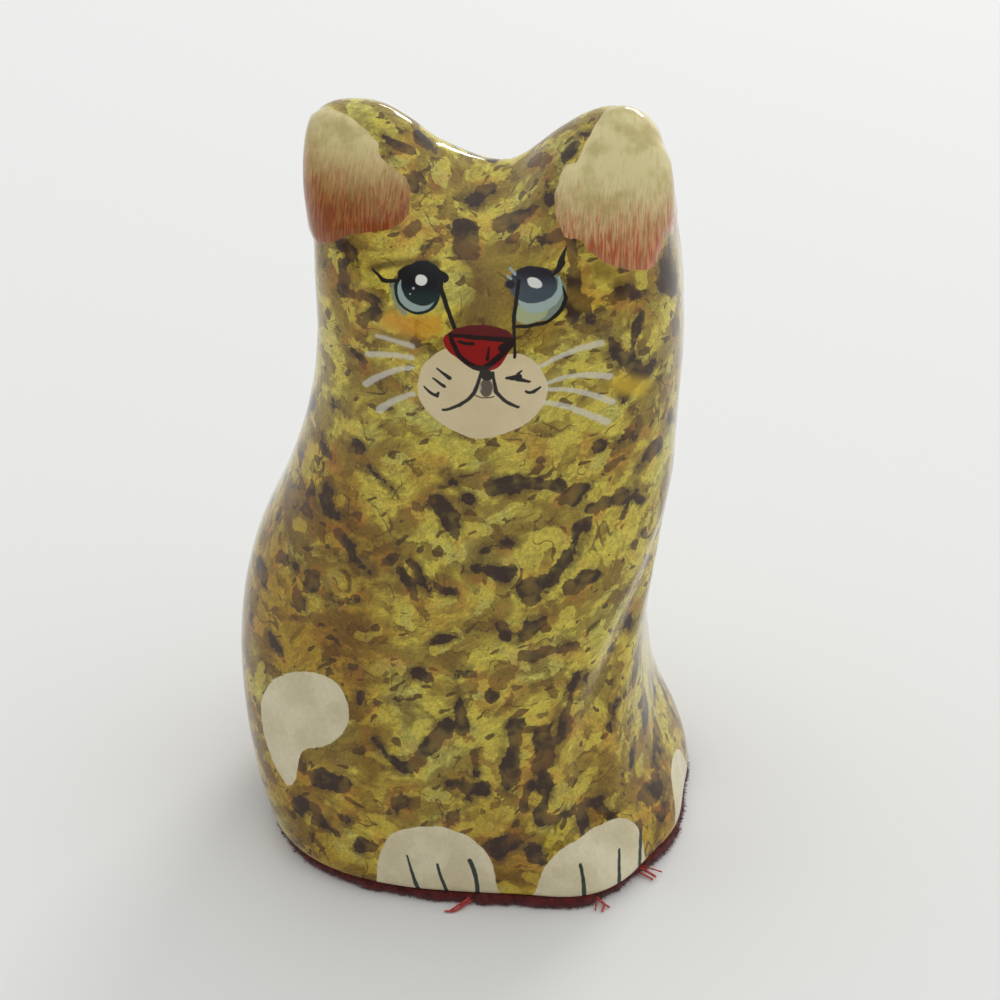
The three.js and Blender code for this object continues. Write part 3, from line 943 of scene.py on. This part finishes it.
# ---------------------------------------------------------------- the felt pad
# A piece of red wool felt, glued under the foot and trimmed by hand with scissors, so its edge wanders in and
# out and sheds fine fuzz. It keeps the lacquered foot from scratching a shelf.

FELT_THICK = 1.19  # mm
PAD_STEPS = 416
PAD_HOLE = 0.005  # m: the node's points nearer the middle than this aren't on its rim
PAD_EDGE = [(0.45, 0.0), (0.12, 0.14), (0.0, 0.45), (0.03, 0.8), (0.16, 1.05), (0.4, FELT_THICK)]
TRIM = [  # degrees round from the front, then how much the scissors took off, in mm
    (-180, 0.35), (-75, 0.35), (-45, 0.75), (-12, 0.55), (4, 0.15), (30, 0.2), (36, 1.0), (46, 1.0),
    (52, 0.25), (90, 0.35), (180, 0.35),
]


def new_piece(name, places, faces):
    """A smooth-shaded object from its points, in metres, and its faces."""
    mesh = bpy.data.meshes.new(name)
    mesh.from_pydata(places, [], faces)
    mesh.polygons.foreach_set("use_smooth", [True] * len(mesh.polygons))
    return placed(name, mesh)


pad_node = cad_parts["felt_pad"]
rim = {}
for vert in pad_node.data.vertices:
    reach = math.hypot(vert.co.x, vert.co.y)
    if reach > PAD_HOLE:
        rim[round(math.degrees(math.atan2(vert.co.x, -vert.co.y)), 2)] = reach / MM
turns = np.array(sorted(rim))
radii = np.array([rim[turn] for turn in turns])
turn = np.linspace(-180, 180, PAD_STEPS, endpoint=False)
radius = np.interp(turn, turns, radii, period=360) - np.interp(turn, *zip(*TRIM))
shears = np.random.default_rng(5)
for waves in range(3, 140):
    swing = 0.16 / math.sqrt(waves) * 0.5
    radius += swing * shears.normal() * np.sin(np.radians(turn) * waves + 6.3 * shears.random())

pad_points = []
for inset, level in PAD_EDGE:
    rough = 0.0 if level in (0.0, FELT_THICK) else 0.05
    reach = radius - inset + rough * shears.normal(size=PAD_STEPS)
    across = reach * np.sin(np.radians(turn))
    along = -reach * np.cos(np.radians(turn))
    pad_points.extend(zip(across * MM, along * MM, np.full(PAD_STEPS, level * MM)))
pad_faces = []
for ring in range(len(PAD_EDGE) - 1):
    for i in range(PAD_STEPS):
        a = ring * PAD_STEPS + i
        b = ring * PAD_STEPS + (i + 1) % PAD_STEPS
        pad_faces.append((a, b, b + PAD_STEPS, a + PAD_STEPS))
pad_faces.append(tuple(reversed(range(PAD_STEPS))))
pad_faces.append(tuple(range((len(PAD_EDGE) - 1) * PAD_STEPS, len(PAD_EDGE) * PAD_STEPS)))
felt = new_piece("red_felt", pad_points, pad_faces)

wool, tree, surface = new_material("red_wool_felt")
point = arrows(tree, "SCALE", put(tree, "ShaderNodeTexCoord").outputs["Object"], scale=1 / MM)
matted = noise(tree, point, 1.4, 4.0, 0.7)
hairs = noise(tree, arrows(tree, "MULTIPLY", point, (3.0, 3.0, 9.0)), 1.0, 3.0, 0.6, 1.5)
red = over(tree, paint(74, 12, 11), paint(124, 30, 25), step(tree, matted, 0.35, 0.7))
red = over(tree, red, paint(60, 6, 12), times(tree, step(tree, hairs, 0.45, 0.3), 0.6))
relief = put(tree, "ShaderNodeBump", {"Height": hairs, "Distance": 0.12 * MM, "Strength": 0.8}).outputs[0]
feed(tree, surface, {"Base Color": red, "Normal": relief, "Roughness": 0.95})
feed(tree, surface, {"Sheen Weight": 0.25, "Sheen Roughness": 0.5})
felt.data.materials.append(wool)

# Fuzz along the cut edge: short curled hairs that stand out of the wool.
tree = bpy.data.node_groups.new("CutEdgeFuzz", "GeometryNodeTree")
tree.interface.new_socket("Geometry", in_out="INPUT", socket_type="NodeSocketGeometry")
fuzz_inputs = {}
for title, kind, value in [
    ("Hairs per m2", "Float", 3.0e7),
    ("Hair Length", "Float", 0.3 * MM),
    ("Hair Radius", "Float", 0.018 * MM),
    ("Seed", "Int", 3),
    ("Wool", "Material", wool),
]:
    socket = tree.interface.new_socket(title, in_out="INPUT", socket_type="NodeSocket" + kind)
    fuzz_inputs[socket.identifier] = value
tree.interface.new_socket("Geometry", in_out="OUTPUT", socket_type="NodeSocketGeometry")
given = tree.nodes.new("NodeGroupInput").outputs
result = tree.nodes.new("NodeGroupOutput").inputs
facing_out = put(tree, "GeometryNodeInputNormal").outputs[0]
upness = put(tree, "ShaderNodeSeparateXYZ", {0: facing_out}).outputs[2]
inputs = {"A": maths(tree, "ABSOLUTE", upness), "B": 0.9}
on_edge = put(tree, "FunctionNodeCompare", inputs, data_type="FLOAT", operation="LESS_THAN").outputs[0]
roots = put(
    tree,
    "GeometryNodeDistributePointsOnFaces",
    {"Mesh": given[0], "Selection": on_edge, "Density": given[1], "Seed": given[4]},
)
half = times(tree, given[2], 0.5)
bend_at = put(tree, "ShaderNodeCombineXYZ", {"Z": half}).outputs[0]
bend_to = put(tree, "ShaderNodeCombineXYZ", {"X": half, "Z": given[2]}).outputs[0]
inputs = {"Resolution": 3, "Start": (0, 0, 0), "Middle": bend_at, "End": bend_to}
line = put(tree, "GeometryNodeCurveQuadraticBezier", inputs)
section = put(tree, "GeometryNodeCurvePrimitiveCircle", {"Resolution": 3, "Radius": given[3]})
hair = put(tree, "GeometryNodeCurveToMesh", {"Curve": line.outputs[0], "Profile Curve": section.outputs[0]})
inputs = {0: (-1.1, -1.1, -3.1), 1: (1.1, 1.1, 3.1), "Seed": given[4]}
toss = put(tree, "FunctionNodeRandomValue", inputs, data_type="FLOAT_VECTOR").outputs[0]
inputs = {0: roots.outputs["Rotation"], 1: toss}
tossed = put(tree, "FunctionNodeRotateRotation", inputs, rotation_space="LOCAL").outputs[0]
sizes = put(tree, "FunctionNodeRandomValue", {2: 0.35, 3: 1.3, "Seed": 8}, data_type="FLOAT")
inputs = {"Points": roots.outputs[0], "Instance": hair.outputs[0], "Rotation": tossed}
inputs["Scale"] = sizes.outputs[1]
planted = put(tree, "GeometryNodeInstanceOnPoints", inputs)
real = put(tree, "GeometryNodeRealizeInstances", {0: planted.outputs[0]})
clad = put(tree, "GeometryNodeSetMaterial", {"Geometry": real.outputs[0], "Material": given[5]})
tree.links.new(clad.outputs[0], result[0])

holder = placed("fuzz_holder", felt.data.copy())
grower = holder.modifiers.new("fuzz", "NODES")
grower.node_group = tree
for identifier, value in fuzz_inputs.items():
    grower[identifier] = value
fuzz = plain_mesh(holder, "felt_fuzz")

# Three tufts of loose thread at the front, where the scissors slipped: stops in millimetres, then half width.
TUFTS = [
    ([(2.2, -21.2, 0.8), (0.9, -22.1, 0.7), (-0.3, -23.3, 0.45), (-1.2, -24.2, 0.25)], 0.17),
    ([(1.8, -21.3, 0.6), (0.6, -22.6, 0.4), (-0.6, -23.9, 0.22), (-1.7, -24.1, 0.2)], 0.15),
    ([(1.2, -21.4, 0.9), (0.3, -22.8, 0.7), (-0.2, -23.7, 0.35)], 0.12),
    ([(12.6, -19.4, 0.7), (13.6, -20.8, 0.55), (14.3, -21.6, 0.4), (14.2, -22.5, 0.2)], 0.17),
    ([(12.9, -19.6, 0.5), (13.9, -21.0, 0.4), (14.9, -21.8, 0.25)], 0.14),
    ([(12.9, -19.7, 0.8), (13.5, -21.3, 0.5), (13.5, -22.4, 0.2)], 0.11),
    ([(16.6, -15.1, 0.7), (17.9, -15.6, 0.65), (19.3, -16.4, 0.35)], 0.18),
    ([(16.8, -15.0, 0.9), (18.2, -15.4, 0.8), (19.9, -15.7, 0.5)], 0.11),
    ([(16.5, -15.4, 0.6), (17.9, -16.1, 0.4), (19.0, -16.7, 0.22)], 0.14),
    ([(9.6, -21.7, 0.8), (11.2, -21.7, 0.9), (12.6, -21.2, 0.7)], 0.1),
    ([(8.6, -21.9, 0.5), (10.0, -22.0, 0.7), (11.0, -21.9, 0.4)], 0.1),
]
STRAND_SIDES = 7


def add_strand(points, faces, stops, half_width):
    """One loose thread with blunt ends, swept along a smooth line through its stops."""
    stops = np.array(stops, float)
    padded = np.vstack([2 * stops[0] - stops[1], stops, 2 * stops[-1] - stops[-2]])
    line = []
    for k in range(len(stops) - 1):
        a, b, c, d = padded[k : k + 4]
        for t in np.linspace(0, 1, 8, endpoint=k == len(stops) - 2):
            curved = (2 * a - 5 * b + 4 * c - d) * t * t + (3 * b - a - 3 * c + d) * t ** 3
            line.append(0.5 * (2 * b + (c - a) * t + curved))
    line = np.array(line)
    first = len(points)
    heading = np.gradient(line, axis=0)
    for k, (at, way) in enumerate(zip(line, heading)):
        way = way / np.linalg.norm(way)
        side = np.cross(way, (0, 0, 1))
        side /= np.linalg.norm(side)
        rise = np.cross(side, way)
        thick = half_width * (1.0 - 0.35 * k / (len(line) - 1)) * (1 + 0.16 * math.sin(k * 1.9))
        for n in range(STRAND_SIDES):
            angle = 2 * math.pi * n / STRAND_SIDES
            points.append((at + thick * (math.cos(angle) * side + math.sin(angle) * rise)) * MM)
    for k in range(len(line) - 1):
        for n in range(STRAND_SIDES):
            a = first + k * STRAND_SIDES + n
            b = first + k * STRAND_SIDES + (n + 1) % STRAND_SIDES
            faces.append((b, a, a + STRAND_SIDES, b + STRAND_SIDES))
    faces.append(tuple(first + n for n in range(STRAND_SIDES)))
    last = first + (len(line) - 1) * STRAND_SIDES
    faces.append(tuple(last + n for n in reversed(range(STRAND_SIDES))))


strand_points = []
strand_faces = []
for stops, half_width in TUFTS:
    add_strand(strand_points, strand_faces, stops, half_width)
threads = new_piece("loose_threads", strand_points, strand_faces)
cotton, tree, surface = new_material("loose_red_thread")
point = arrows(tree, "SCALE", put(tree, "ShaderNodeTexCoord").outputs["Object"], scale=1 / MM)
twist = noise(tree, arrows(tree, "MULTIPLY", point, (2.0, 2.0, 6.0)), 1.6, 3.0, 0.6)
red = over(tree, paint(150, 34, 36), paint(206, 92, 84), step(tree, twist, 0.35, 0.65))
feed(tree, surface, {"Base Color": red, "Roughness": 0.9})
threads.data.materials.append(cotton)

width, length = (max(p[k] for p in pad_points) - min(p[k] for p in pad_points) for k in (0, 1))
for piece in (felt, fuzz, threads):
    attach(piece, "root")
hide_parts("felt_pad")


# ---------------------------------------------------------------- the table, the light and the camera
# A plain pale table under a broad soft window, and a camera a little above the cat and to its left.

TABLE_REACH = 3.0  # m, from the middle to each edge
WINDOW_PLACE = (0.3, 1.08, 0.56)  # m: behind the cat, to its left
WINDOW_AIM = (0, 0, 0.03)  # m
WINDOW_SIZE = (0.42, 0.2)  # m
WINDOW_WATTS = 4.4
SKY_WAY = (0.12, 0.72, 0.68)  # the side from which most of the room's light comes
LENS = 105.3  # mm
CAMERA_AIM = (1.4, 0.4, 34.4)  # mm: the middle of the view
CAMERA_WAY = (0.0905, -0.8613, 0.5)  # from there back to the camera
CAMERA_GAP = 0.3  # m, between them

corners = [(TABLE_REACH * u, TABLE_REACH * v, 0) for u, v in ((-1, -1), (1, -1), (1, 1), (-1, 1))]
table_top = new_piece("table_top", corners, [(0, 1, 2, 3)])
table_paint, tree, surface = new_material("table_paint")
feed(tree, surface, {"Base Color": paint(228, 228, 226), "Roughness": 0.8})
table_top.data.materials.append(table_paint)

world = bpy.data.worlds.new("studio")
bpy.context.scene.world = world
world.use_nodes = True
tree = world.node_tree
skyward = put(tree, "ShaderNodeTexCoord").outputs["Generated"]
away = arrows(tree, "DOT_PRODUCT", skyward, SKY_WAY)
sky = over(tree, (0.34, 0.32, 0.29, 1.0), (1.06, 1.08, 1.1, 1.0), step(tree, away, -0.6, 0.8))
feed(tree, tree.nodes["Background"], {"Color": sky, "Strength": 1.0})


lamp = bpy.data.lights.new("window", "AREA")
lamp.shape = "RECTANGLE"
lamp.size, lamp.size_y = WINDOW_SIZE
lamp.energy = WINDOW_WATTS
lamp.color = (1.0, 0.99, 0.97)
window = placed("window", lamp)
window.location = WINDOW_PLACE
window.rotation_euler = (Vector(WINDOW_AIM) - window.location).to_track_quat("-Z", "Y").to_euler()

lens = bpy.data.cameras.new("camera")
lens.sensor_width = 36.0
lens.lens = LENS
lens.clip_start = 0.01
camera = placed("camera", lens)
backward = Vector(CAMERA_WAY).normalized()
camera.location = Vector(CAMERA_AIM) * MM + backward * CAMERA_GAP
camera.rotation_euler = (-backward).to_track_quat("-Z", "Y").to_euler()
bpy.context.scene.camera = camera
bpy.context.scene.view_settings.view_transform = "Standard"
